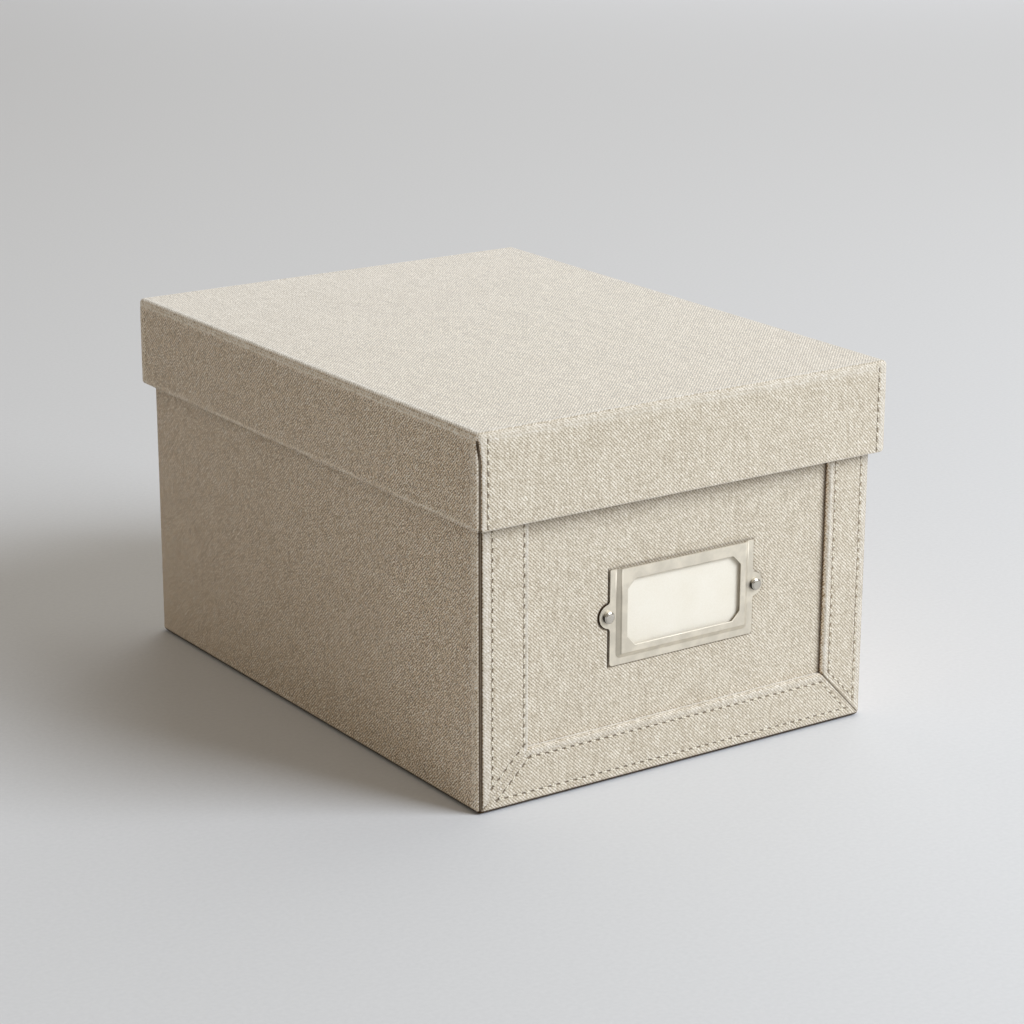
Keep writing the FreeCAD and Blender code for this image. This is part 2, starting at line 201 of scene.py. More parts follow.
def linen_material():
    """Plain weave of uneven flax yarns, on the piece's own cloth coordinates in millimetres."""
    s = Shader("linen")
    pitch = 0.775
    across, along = s.cloth()
    flat = s.vector(across, along)
    drift = s.noise(flat, 0.11, 1.0).fit(0.5, -0.25)
    warp = across / pitch + drift
    weft = along / pitch - drift
    warp_id, weft_id = s.math("FLOOR", warp), s.math("FLOOR", weft)

    def crown(value):
        """Round cross-section of a yarn: 0 at its sides, 1 on its middle."""
        side = s.math("FRACT", value).fit(2.0, -1.0)
        return 1.0 - side * side

    def turn(index):
        """1 or -1 for every other yarn."""
        return s.math("FLOORED_MODULO", index, 2.0).fit(-2.0, 1.0)

    def uneven(vector, scale, rough):
        """Noise between -1 and 1."""
        return s.smooth(s.noise(vector, scale, 3.0, rough), 0.3, 0.7, -1.0, 1.0)

    over_warp = s.math("SINE", weft * pi) * turn(warp_id)
    over_weft = s.math("SINE", warp * pi) * turn(weft_id)
    warp_top = over_warp * 0.5 + crown(warp) * 0.5
    weft_top = crown(weft) * 0.5 - over_weft * 0.5
    height = s.math("MAXIMUM", warp_top, weft_top)

    # every yarn has its own slubs; those of the upright yarns are the stronger ones
    warp_slub = uneven(s.vector(warp_id * 7.31, along * 0.1, 3.7), 1.0, 0.6)
    weft_slub = uneven(s.vector(weft_id * 5.17, across * 0.1, 8.2), 1.0, 0.6)
    nub = uneven(s.vector(across * 0.8, along * 0.4), 1.0, 0.7)
    knot = s.dice(s.math("FLOOR", warp + 0.5), s.math("FLOOR", weft + 0.5)).fit(2.0, -1.0)

    # the spin of the yarns shows as slanted strands that line up from crossing to crossing
    sideways, _, upward = s.facing()
    flank = s.smooth(s.math("ABSOLUTE", sideways), 0.5, 0.9)
    lying = s.smooth(upward, 0.5, 0.9)
    sway = s.noise(flat, 0.55, 2.0).fit(4.4, -2.2) * flank.fit(1.3, lying.fit(0.7, 1.0))
    spin = (warp + weft).fit(pi, sway)
    against = (warp - weft).fit(pi, sway)
    chance = knot * flank.fit(0.55, 0.45)
    strand = s.math("COSINE", spin) * (nub.fit(0.3, 1.0) + chance)
    other = s.math("COSINE", against) * (1.0 - chance)
    strand = strand + other * flank.fit(0.6, 0.22)

    # the tone of the cloth is a sum of shares; a fold, given as a negative shade, lifts it as a painted
    # highlight and smooths it
    fold = s.math("MAXIMUM", s.shade() * -1.0, 0.0)
    lift = fold * flank.fit(0.18, 0.08)
    total = height.fit(0.2, lift + 0.4)
    strand_share = flank.fit(0.22, lying.fit(0.12, 0.195)) * fold.fit(-0.5, 1.0)
    knot_share = flank.fit(0.17, lying.fit(0.08, 0.1))
    slub_share = s.math("MAXIMUM", flank, lying).fit(0.03, 0.062)
    # the shares change with the way the cloth faces, as painted light that shows the weave as the light
    # falls on each face; on the sides a coarser grain shows between the strands
    grain = uneven(flat, 0.6, 0.8)
    for part, share in ((warp_slub, slub_share), (weft_slub, 0.035), (nub, 0.025),
                        (strand, strand_share), (knot, knot_share), (grain, flank * 0.22)):
        total = part.fit(share, total)
    colour = s.ramp(
        total,
        (0.0, srgb(96, 84, 64)),
        (0.30, srgb(160, 145, 121)),
        (0.58, srgb(210, 198, 177)),
        (1.0, srgb(249, 242, 230)),
    )
    # painted light by facing: the sides are browner in their depths as painted shade, the top is warmer
    # where the light falls on it, and the painted highlight of a fold is a little cooler
    painted_side_shade = flank * s.math("SUBTRACT", 1.25, total, clamp=True) * fold.fit(-0.45, 1.0)
    colour = s.tint(painted_side_shade, colour, 1.24, 0.955, 0.63)
    colour = s.tint(lying * (1.0 - fold), colour, 1.08, 1.04, 0.97)
    colour = s.tint(fold * (1.0 - flank), colour, 0.98, 1.0, 1.045)
    # painted shade from the shade attribute: dark brown in seam grooves, creases, stitch holes, where
    # the cloth turns under the box or in under the lid, and beside the label holder; sheen and specular
    # fade there as well
    colour = s.mix(s.shade(), colour, srgb(60, 38, 17))
    relief = nub.fit(0.25, strand.fit(0.35, height * 0.6))
    outside_painted_shade = s.math("SUBTRACT", 1.0, s.shade(), clamp=True)
    return s.finish(
        colour, height.fit(-0.14, 0.84), Normal=s.bump(relief, 0.00022, 0.15),
        Specular_IOR_Level=outside_painted_shade * 0.3, Sheen_Weight=outside_painted_shade, Sheen_Roughness=0.5,
        Sheen_Tint=(1.0, 0.98, 0.94, 1.0))


def thread_material():
    """Waxed cream linen thread: two plies that show as slanted lines along each stitch."""
    s = Shader("thread")
    around, along = s.cloth()
    ply = s.math("SINE", (around * 2.0 + along) * (2 * pi))
    dust = s.noise(s.place(), 2600.0, 2.0)
    colour = s.ramp(ply.fit(0.22, dust), (0.2, srgb(206, 192, 164)), (0.7, srgb(252, 246, 230)))
    # painted shade on the ends of each stitch, where the thread dives into its hole
    colour = s.mix(s.shade(), colour, srgb(92, 72, 48))
    relief = s.bump(ply, 0.00008, 0.8)
    return s.finish(colour, dust.fit(0.2, 0.6), Normal=relief, Specular_IOR_Level=0.3, Sheen_Weight=0.1)


def metal_material(name, tone, rough, line, weight, under):
    """Plated steel with fine draw lines and faint handling marks.

    Faces that turn left and down keep the share `under` of its tone, as a painted reflection of the
    dark cloth there.
    """
    s = Shader(name)
    x, y, z = s.split(s.place())
    drawn = s.noise(s.vector(x * 90.0, y * 90.0, z * 5200.0), 1.0, 3.0, 0.6)
    mark = s.smooth(s.noise(s.place(), 160.0, 4.0, 0.6), 0.35, 0.7)
    colour = s.mix(mark, srgb(*(c - 14 for c in tone)), srgb(*tone))
    # painted reflection: faces that turn left and down are darkened
    sideways, _, upward = s.facing()
    turned = sideways.fit(-0.8, upward * -0.45)
    colour = s.tint(s.smooth(turned, 0.15, 0.75), colour, under, under, under * 0.97)
    rough = drawn.fit(line, mark.fit(line, rough))
    return s.finish(colour, rough, Normal=s.bump(drawn, weight, 0.5), Metallic=1.0)


def paper_material(name, low, high, grain):
    """Paper: a felt of fine fibres over a slow cloudiness."""
    s = Shader(name)
    fibre = s.noise(s.place(), 1900.0, 4.0, 0.7)
    tone = fibre * 0.55 + s.noise(s.place(), 60.0, 3.0) * 0.45
    colour = s.ramp(tone, (0.3, srgb(*low)), (0.7, srgb(*high)))
    relief = s.bump(fibre, grain, 0.6)
    return s.finish(colour, fibre.fit(0.15, 0.78), Normal=relief, Specular_IOR_Level=0.25)


def board_material():
    """Grey board: recycled pulp with dark and pale specks."""
    s = Shader("board")
    pulp = s.noise(s.place(), 900.0, 5.0, 0.75)
    speck = s.smooth(s.noise(s.place(), 2600.0, 1.0), 0.62, 0.72)
    colour = s.ramp(pulp, (0.3, srgb(120, 108, 92)), (0.7, srgb(160, 147, 128)))
    colour = s.mix(speck * 0.5, colour, srgb(84, 76, 66))
    relief = s.bump(pulp, 0.0001, 0.7)
    return s.finish(colour, pulp.fit(0.12, 0.84), Normal=relief, Specular_IOR_Level=0.2)


def stage_material():
    """Matt studio paper."""
    s = Shader("studio_paper")
    grain = s.noise(s.place(), 500.0, 3.0)
    colour = s.ramp(grain, (0.3, srgb(221, 221, 222)), (0.7, srgb(225, 225, 226)))
    return s.finish(colour, grain.fit(0.1, 0.85), Specular_IOR_Level=0.15)


LINEN = linen_material()
THREAD = thread_material()
# under: the share of tone left as painted reflection on faces turned left and down
HOLDER = metal_material("satin_nickel", (234, 226, 210), 0.50, 0.08, 0.00001, 0.68)
RIVET = metal_material("polished_nickel", (214, 208, 197), 0.18, 0.05, 0.000004, 0.06)
CARD = paper_material("card", (233, 225, 208), (242, 236, 223), 0.00002)
LINING = paper_material("lining_paper", (214, 205, 188), (228, 220, 204), 0.00004)
BOARD = board_material()
PAPER_FLOOR = stage_material()


# ---------------------------------------------------------------- mesh building

def lines(*marks):
    """Coordinates from (place, step) marks, each step up to the next place."""
    out = [marks[0][0]]
    for (start, step), after in zip(marks, marks[1:]):
        count = max(1, round((after[0] - start) / step))
        out += [start + (after[0] - start) * k / count for k in range(1, count + 1)]
    return out


def both_ways(positive):
    """The same coordinates on both sides of zero."""
    return [-c for c in reversed(positive) if c] + list(positive)


def clamp(value, low, high):
    return max(low, min(high, value))


def ease(value):
    """Smooth step from 0 to 1."""
    value = clamp(value, 0.0, 1.0)
    return value * value * (3 - 2 * value)


def quarter(steps, first=0):
    """Angles of a quarter turn in equal steps."""
    return [pi / 2 * k / steps for k in range(first, steps + 1)]


def arc_length(value, limit):
    """Distance along the cloth for a coordinate of the sharp box whose edge is rounded."""
    over = abs(value) - (limit - EDGE)
    if over <= 0:
        return value
    return copysign(limit - EDGE + EDGE * atan(over / EDGE), value)


def lengths(path):
    """Distance along a path of points, from its start."""
    out = [0.0]
    for (a0, b0), (a1, b1) in zip(path, path[1:]):
        out.append(out[-1] + hypot(a1 - a0, b1 - b0))
    return out


def cloth_mesh(name, points, faces, cloth, shades):
    """A mesh of points in millimetres, with cloth coordinates and with a shade at each point."""
    mesh = bpy.data.meshes.new(name)
    mesh.from_pydata([Vector(p) * MM for p in points], [], faces)
    layer = mesh.uv_layers.new(name="cloth")
    for polygon, ring in zip(mesh.polygons, cloth):
        for loop, pair in zip(polygon.loop_indices, ring):
            layer.data[loop].uv = pair
    mesh.attributes.new("shade", "FLOAT", "POINT").data.foreach_set("value", shades)
    bm = bmesh.new()
    bm.from_mesh(mesh)
    return mesh, bm


def finished(name, mesh, bm, material, smooth=True):
    """The object of a mesh and its bmesh."""
    if smooth:
        for face in bm.faces:
            face.smooth = True
    bm.to_mesh(mesh)
    bm.free()
    mesh.materials.append(material)
    piece = bpy.data.objects.new(name, mesh)
    scene.collection.objects.link(piece)
    return piece


def turn_out(bm, outward=None):
    """Makes all faces look the same way; outward(centre) gives that way, roughly."""
    bmesh.ops.recalc_face_normals(bm, faces=bm.faces)
    if outward:
        ways = (f.calc_area() * f.normal.dot(outward(f.calc_center_median() / MM)) for f in bm.faces)
        if sum(ways) < 0:
            bmesh.ops.reverse_faces(bm, faces=bm.faces)


def thicken(piece, thickness):
    """Gives a sheet its thickness behind its outer face."""
    solid = piece.modifiers.new("thickness", "SOLIDIFY")
    solid.thickness = thickness * MM
    solid.offset = -1.0
    return solid


class Patchwork:
    """Patches of quads that share points where they meet. Points are in millimetres."""

    def __init__(self):
        self.points, self.shade, self.faces, self.cloth = [], [], [], []

    def patch(self, rows, columns, place, weave):
        """place(row, column) gives a point and its shade, weave(row, column) its cloth coordinates."""
        start, width = len(self.points), len(columns)
        spots = [(row, column) for row in rows for column in columns]
        placed = [place(*spot) for spot in spots]
        sewn = [weave(*spot) for spot in spots]
        self.points += [point for point, _ in placed]
        self.shade += [shade for _, shade in placed]
        for r in range(len(rows) - 1):
            for c in range(width - 1):
                corner = r * width + c
                ring = (corner, corner + 1, corner + width + 1, corner + width)
                self.faces.append([start + k for k in ring])
                self.cloth.append([sewn[k] for k in ring])

    def build(self, name, material, outward, thickness=CLOTH):
        """outward(centre) gives the direction that a face there should look to, roughly."""
        mesh, bm = cloth_mesh(name, self.points, self.faces, self.cloth, self.shade)
        bmesh.ops.remove_doubles(bm, verts=bm.verts, dist=0.002 * MM)
        bmesh.ops.dissolve_degenerate(bm, edges=bm.edges, dist=0.0005 * MM)
        turn_out(bm, outward)
        piece = finished(name, mesh, bm, material)
        thicken(piece, thickness)
        return piece


def wave(x, y, z, size, seed):
    """Slow unevenness between -1 and 1."""
    return noise.noise(Vector((x / size + seed * 17.3, y / size - seed * 5.1, z / size + seed * 2.7)))


def on_block(x, y, z, half_x, half_y, sink, top=None, bottom=None):
    """A point of the sharp box moved onto the rounded one, and then in by sink.

    top and bottom are the heights of the faces there, where those edges are rounded too.
    """
    radius = max(EDGE, sink + 0.01)
    far_x, far_y = half_x - radius, half_y - radius
    core = Vector((clamp(x, -far_x, far_x), clamp(y, -far_y, far_y), z))
    if top is not None:
        core.z = min(core.z, top - radius)
    if bottom is not None:
        core.z = max(core.z, bottom + radius)
    away = Vector((x, y, z)) - core
    return core + away.normalized() * (radius - sink)


def groove(distance, depth, half_width):
    """Sink of a soft-sided seam groove at a distance from its middle."""
    share = abs(distance) / half_width
    return depth * exp(-share * share * 1.6) if share < 2.2 else 0.0


class Row:
    """A row of stitches on a flat face: (across, up) ends on the plane y, which looks along facing.

    The stitches and their holes lean by slant, and each hole gets painted shade. tight is the share of
    that shade which a hole loses from the left of the box, where it is open, to the right, where it is
    drawn tight.
    """

    def __init__(self, start, end, y, facing=-1, slant=0.0, tight=0.0):
        self.start, self.end, self.tight = Vector(start), Vector(end), tight
        self.y, self.facing, self.slant = y, facing, slant
        run = self.end - self.start
        self.count = max(1, round(run.length / STITCH_PITCH))
        self.pitch = run.length / self.count
        self.along = run.normalized()
        self.aside = Vector((-self.along.y, self.along.x))

    def press(self, x, z):
        """(sink, shade) of the cloth at a place: a soft channel, and a hole between two stitches with
        painted shade in it.
        """
        offset = Vector((x, z)) - self.start
        aside = offset.dot(self.aside)
        if abs(aside) > 2.2:
            return 0.0, 0.0
        step = offset.dot(self.along) / self.pitch
        if step < -0.4 or step > self.count + 0.4:
            return 0.0, 0.0
        channel = 0.06 * exp(-(aside / 0.8) ** 2)
        away = (step - round(step)) * self.pitch
        hole = exp(-((aside - away * self.slant) / 0.38) ** 2 - (away / 1.15) ** 2)
        return channel + 0.6 * hole, ease(hole * 2.3 - 0.4) * (1 - self.tight * ease((x + 90) / 170))


def pressed(rows, x, z):
    sink = shade = 0.0
    for row in rows:
        one, dark = row.press(x, z)
        sink, shade = max(sink, one), max(shade, dark)
    return sink, shade


def seam_tone(off):
    """Shade of an open seam at a distance from its middle."""
    return 0.97 * ease((1.3 - abs(off)) / 0.6)


SEAM_DEPTH = 1.2
CLOSED_SEAM = 0.12  # how much of its groove and shade a seam keeps where its edges lie close


def thread_lines(inside):
    """Share of the painted highlight across folded cloth, whose threads stand up one beside the other.
    """
    return 0.68 + 0.32 * cos(inside * 2 * pi / 1.5)


def shade_or_highlight(dark, pale):
    """Painted shade at a dark place, or else a painted highlight on a smooth fold as a negative shade.
    """
    return dark - pale * (1 - min(1.0, dark * 4))


# ---------------------------------------------------------------- lid linen

def lid_linen():
    """Top and skirts in one cloth, grooved at the upright corners and turned in below."""
    cloth = Patchwork()
    xs = both_ways(lines((0, 5), (96, 0.9), (97.8, 0.3), (101.5, 0.19), (LID_X, 0)))
    ys = both_ways(lines((0, 5), (132, 0.9), (136.5, 0.35), (138.1, 0.19), (LID_Y, 0)))
    zs = lines((LID_FOOT, 0.55), (154.8, 0.32), (LID_TOP, 0))
    feet = (-LID_ROW, LID_ROW)
    rows = {side * LID_Y: [Row((x, LID_FOOT + 0.5), (x, 156.3), side * LID_Y, side, 0.15) for x in feet]
            for side in (-1, 1)}

    def seam(x, y, z):
        """The groove runs down each corner and swings onto the side where it starts."""
        across = edge_x(LID_X) - edge_x(abs(x))
        behind = edge_y(LID_Y) - edge_y(abs(y))
        off = behind - across - 1.5 * ease((z - 147.5) / 10) + 0.7
        fade = ease((157.6 - z) / 1.6) * (CLOSED_SEAM if x > 0 or y > 0 else 1)
        return groove(off, SEAM_DEPTH, 1.1) * fade, off, fade

    def strip_highlight(x, y, z):
        """Painted highlight on smooth folded cloth on both sides of the seam, along the edges of the
        top, and along the skirt's lower edge.
        """
        if abs(y) == LID_Y:
            return 0.9 * ease((abs(x) - LID_ROW - 0.5) / 0.8)
        if z < LID_FOOT + 2:
            return ease((LID_FOOT + 1.4 - z) / 0.8)
        return ease((abs(y) - LID_Y + 5.4) / 0.8) * thread_lines(LID_Y - abs(y))

    def sag(x, y, z):
        return 0.10 + 0.08 * wave(x, y, z, 34.0, 1) + 0.03 * wave(x, y, z, 9.0, 2)

    def skirt(x, y, z):
        sink, off, fade = seam(x, y, z)
        shade = seam_tone(off * 1.3) * fade
        if abs(y) == LID_Y:
            press, dark = pressed(rows[y], x, z)
            sink, shade = max(sink, press), max(shade, dark)
        else:
            sink -= hem_ridge(LID_Y - abs(y)) * ease((158 - z) / 3)
        inside = LID_TOP - z
        shade = shade_or_highlight(shade, max(strip_highlight(x, y, z), edge_highlight(y, inside)))
        sink += edge_threads(inside) + sag(x, y, z) * ease(inside / 6)
        return on_block(x, y, z, LID_X, LID_Y, sink, top=LID_TOP), shade

    def edge_highlight(y, inside):
        """Painted highlight on the skirt below the edge of the top; the long sides catch more light
        there.
        """
        return (0.8 if abs(y) == LID_Y else 1.4) * ease((5.0 - inside) / 1.8) * thread_lines(inside)

    def edge_threads(inside):
        """Threads that stand up along the edges of the top, where the cloth is drawn tight."""
        return 0.03 * (1 - cos((inside - 0.3) * 2 * pi / 1.4)) * ease((4.8 - inside) / 1.5)

    def top(x, y):
        inside = min(LID_X - abs(x), LID_Y - abs(y))
        sink = sag(x, y, 0) * ease(inside / 6) + edge_threads(inside)
        # painted highlight along the edges of the top
        pale = 0.8 * ease((4.4 - inside) / 1.8) * thread_lines(inside)
        return on_block(x, y, LID_TOP, LID_X, LID_Y, sink, top=LID_TOP), -pale

    def edge_x(x):
        return arc_length(x, LID_X)

    def edge_y(y):
        return arc_length(y, LID_Y)

    def edge_z(z):
        over = max(0.0, z - LID_TOP + EDGE)
        return z - over + EDGE * atan(over / EDGE)

    for y in (-LID_Y, LID_Y):
        cloth.patch(zs, xs, lambda z, x: skirt(x, y, z), lambda z, x: (edge_x(x), edge_z(z)))
    for x in (-LID_X, LID_X):
        cloth.patch(zs, ys, lambda z, y: skirt(x, y, z), lambda z, y: (edge_y(y), edge_z(z)))
    cloth.patch(ys, xs, lambda y, x: top(x, y), lambda y, x: (-edge_x(x), edge_y(y)))

    # the fold below and the cloth turned in behind it: sink and height along its path
    fold = [(1 - cos(a), LID_FOOT - sin(a)) for a in quarter(5)] + [(1.5, LID_FOOT - 1)]
    fold += [(2 + sin(a), LID_FOOT - cos(a)) for a in quarter(5)]
    fold += [(3.0, z) for z in (123.0, 126.0, 129.0, 131.2, 131.9)]
    drop = [LID_FOOT - gone for gone in lengths(fold)]

    def turned(x, y, step):
        sink, off, _ = seam(x, y, LID_FOOT)
        depth, z = fold[step]
        share = 1 - ease(depth / 2.0)
        lift = sag(x, y, LID_FOOT) if depth < 2.5 else 0.15
        shade = seam_tone(off) * share * (CLOSED_SEAM if x > 0 or y > 0 else 1)
        if depth == 0.0 and abs(y) == LID_Y:
            press, dark = pressed(rows[y], x, z)
            sink, shade = max(sink, press), max(shade, dark)
        # painted shade on the cloth turned in under the skirt, and the painted highlight of its fold
        shade = max(shade_or_highlight(shade, strip_highlight(x, y, z) * share), 0.75 * ease((depth - 0.3) / 0.6))
        return on_block(x, y, z, LID_X, LID_Y, depth + sink * share + lift * share, top=LID_TOP), shade

    steps = range(len(fold))
    for y in (-LID_Y, LID_Y):
        cloth.patch(steps, xs, lambda k, x: turned(x, y, k), lambda k, x: (edge_x(x), drop[k]))
    for x in (-LID_X, LID_X):
        cloth.patch(steps, ys, lambda k, y: turned(x, y, k), lambda k, y: (edge_y(y), drop[k]))
    middle = Vector((0, 0, 140))
    piece = cloth.build("lid_linen", LINEN, lambda c: (c - middle) * (1 if c.z > LID_FOOT else 0.1))
    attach(piece, "lid")
    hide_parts("lid_cover")
    return rows


# ---------------------------------------------------------------- body linen

SEAM_X = 98.97  # on the sharp front plane, where the side cloth and a band's cloth meet


def body_arc(value):
    return arc_length(value, HALF_X)


def seam_profile(off, side):
    """(sink, shade) of a seam at a distance from its middle; the one on the right is closed."""
    share = 1 if side < 0 else CLOSED_SEAM
    return groove(off, SEAM_DEPTH, 1.15) * share, seam_tone(off) * share


def seam_groove(x, side):
    """(sink, shade) beside the seam on the front, x counted outwards from the middle."""
    return seam_profile(body_arc(x) - body_arc(SEAM_X), side)


def seam_beside(y, side):
    """(sink, shade) that the same seam leaves on the side of the box."""
    if y > -HALF_Y + 4:
        return 0.0, 0.0
    corner = body_arc(HALF_X) - body_arc(SEAM_X)
    return seam_profile(corner + arc_length(HALF_Y, HALF_Y) - arc_length(-y, HALF_Y), side)


def mitre_z(x, width, offset=0.0):
    """As in the CAD source: the left mitre of a band with that width."""
    run, rise = width - FOOT, BAND_TOP - FOOT
    return FOOT + (x + HALF_X - FOOT) * rise / run + offset * hypot(run, rise) / run


def mitre_x(z, width, offset=0.0):
    run, rise = width - FOOT, BAND_TOP - FOOT
    return FOOT - HALF_X + (z - FOOT) * run / rise - offset * hypot(run, rise) / rise


def hem_ridge(inside):
    """Height of the doubled hem beside a corner seam, whose threads stand up in ridges."""
    ridge = 0.07 * cos(inside * 2 * pi / 1.55) * ease((inside - 0.8) / 0.8)
    return (0.16 + ridge) * ease((5.6 - inside) / 0.8)


def under_shade(z):
    """Painted shade where the cloth turns under the box."""
    return 0.97 * ease((2.0 - z) / 1.3)


def hand_sag(x, y, z, amount=0.07):
    """Unevenness of cloth that was glued on by hand."""
    return 0.09 + amount * wave(x, y, z, 31.0, 3) + 0.02 * wave(x, y, z, 8.0, 4)


def fold_path(top, *down):
    """(depth, height) of linen over the rim of a wall, and down inside by some heights."""
    low, far = top - RIM_BEND, TURNED_IN - RIM_BEND
    over = [(RIM_BEND - RIM_BEND * cos(a), low + RIM_BEND * sin(a)) for a in quarter(5)]
    over += [(far + RIM_BEND * sin(a), low + RIM_BEND * cos(a)) for a in quarter(5)]
    return over + [(TURNED_IN, z) for z in (*down, LINING_TOP + 0.2)]


def wrap_linen():
    """Left, back and right in one cloth, folded over the rim and round the bottom edge."""
    cloth = Patchwork()
    ys = lines((-HALF_Y, 0.16), (-133.2, 0.3), (-126.6, 0.9), (-124, 4),
               (130, 1), (132.6, 0.35), (HALF_Y, 0))
    xs = both_ways(lines((0, 4), (96, 0.8), (97.6, 0.35), (HALF_X, 0)))
    zs = lines((0, 0.25), (2.4, 1), (6, 4), (152, 2), (RIM - RIM_BEND, 0))
    rim = [(0.0, zs[-1])] + fold_path(RIM, 154.5, 151.0, 148.0)
    gone = lengths(rim)
    returns = lines((SEAM_X, 0.14), (HALF_X, 0))

    def beside(y, side):
        """The seam that shows on the side, and the painted highlight on the hem behind it."""
        sink, shade = seam_beside(y, side)
        return sink, shade_or_highlight(shade, ease((5.4 - HALF_Y - y) / 0.8) * thread_lines(HALF_Y + y))

    def skin(x, y, z, sink=0.0, shade=0.0):
        sag = hand_sag(x, y, z) - (hem_ridge(HALF_Y + y) if abs(x) == HALF_X else 0)
        sag *= ease(z / 5)
        shade = under_shade(z) if under_shade(z) > max(shade, 0) else shade
        return on_block(x, y, z, HALF_X, HALF_Y, max(0.02, sink + sag), bottom=0.0), shade

    def climb(x, y, step, sink=0.0, shade=0.0):
        depth, z = rim[step]
        keep = 1 - ease(depth / RIM_BEND)
        sink = depth + (hand_sag(x, y, RIM - RIM_BEND) + sink) * keep
        return on_block(x, y, z, HALF_X, HALF_Y, sink), shade * keep

    def edge_z(z):
        return z if z > EDGE else EDGE - EDGE * atan((EDGE - z) / EDGE)

    def edge_y(y):
        return arc_length(y, HALF_Y)

    steps = range(len(rim))
    for side in (-1, 1):
        x = side * HALF_X
        cloth.patch(zs, ys, lambda z, y: skin(x, y, z, *beside(y, side)),
                    lambda z, y: (edge_y(y), edge_z(z)))
        cloth.patch(steps, ys, lambda k, y: climb(x, y, k, *beside(y, side)),
                    lambda k, y: (edge_y(y), zs[-1] + gone[k]))

        def front(z, out):
            lift = max(0.0, out - SEAM_X) / (HALF_X - SEAM_X)
            low_end = (1 - lift) * (mitre_z(-SEAM_X, LEFT_BAND) - 0.05) * max(0.0, 1 - z / 20)
            return skin(side * out, -HALF_Y, z + low_end, *seam_groove(out, side))

        cloth.patch(zs, returns, front, lambda z, out: (body_arc(out), edge_z(z)))
        cloth.patch(steps, returns,
                    lambda k, out: climb(side * out, -HALF_Y, k, *seam_groove(out, side)),
                    lambda k, out: (body_arc(out), zs[-1] + gone[k]))
        under = lines((97.7, 0.35), (HALF_X, 0))

        def below(y, out):
            mitre = (HALF_X - out) * max(0.0, 1 - (HALF_Y - abs(y)) / 15)
            return skin(side * out, y - copysign(mitre, y), 0.0)

        cloth.patch(ys, under, below, lambda y, out: (edge_y(y), out - HALF_X))
    cloth.patch(zs, xs, lambda z, x: skin(x, HALF_Y, z), lambda z, x: (body_arc(x), edge_z(z)))
    cloth.patch(steps, xs, lambda k, x: climb(x, HALF_Y, k),
                lambda k, x: (body_arc(x), zs[-1] + gone[k]))

    def behind(y, x):
        mitre = (HALF_Y - y) * max(0.0, 1 - (HALF_X - abs(x)) / 15)
        return skin(x - copysign(mitre, x), y, 0.0)

    cloth.patch(lines((132.7, 0.35), (HALF_Y, 0)), xs, behind, lambda y, x: (body_arc(x), y - HALF_Y))
    middle = Vector((0, 0, 80))

    def outward(centre):
        """Away from the middle; the cloth turned in and under counts little."""
        outer = abs(centre.x) > HALF_X - 1 or abs(centre.y) > HALF_Y - 1
        return (centre - middle) * (1 if outer else 0.1)

    piece = cloth.build("wrap_linen", LINEN, outward)
    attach(piece, "box")
    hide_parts("wrap_cover")


FOLD = 1.5  # rounding of the inner edge of a band
BAND_BEND = 0.8  # and of its upper end
FOLD_TURN = [(FOLD * sin(a), FOLD - FOLD * cos(a)) for a in quarter(6, 1)]


def plump(share):
    """Swelling of the folded edge between its stitches and the fold."""
    return 0.3 * sin(pi * share ** 1.4) if 0 < share < 1 else 0.0


def side_row_list(width, insets):
    """The four rows of a side band in left-hand coordinates, as in the CAD source."""
    outer, inner = (inset - HALF_X for inset in insets)
    top = RIM - 1.5
    outer_foot = (outer, mitre_z(outer, width, MITRE_OFFSET))
    inner_foot = (inner, mitre_z(inner, width, MITRE_OFFSET))
    lower = (mitre_x(LOWER_ROW, width, -MITRE_OFFSET), LOWER_ROW)
    upper = (mitre_x(UPPER_ROW, width, -MITRE_OFFSET), UPPER_ROW)
    upright = [(outer_foot, (outer, top)), (inner_foot, (inner, top))]
    return upright + [(outer_foot, inner_foot), (lower, upper)]


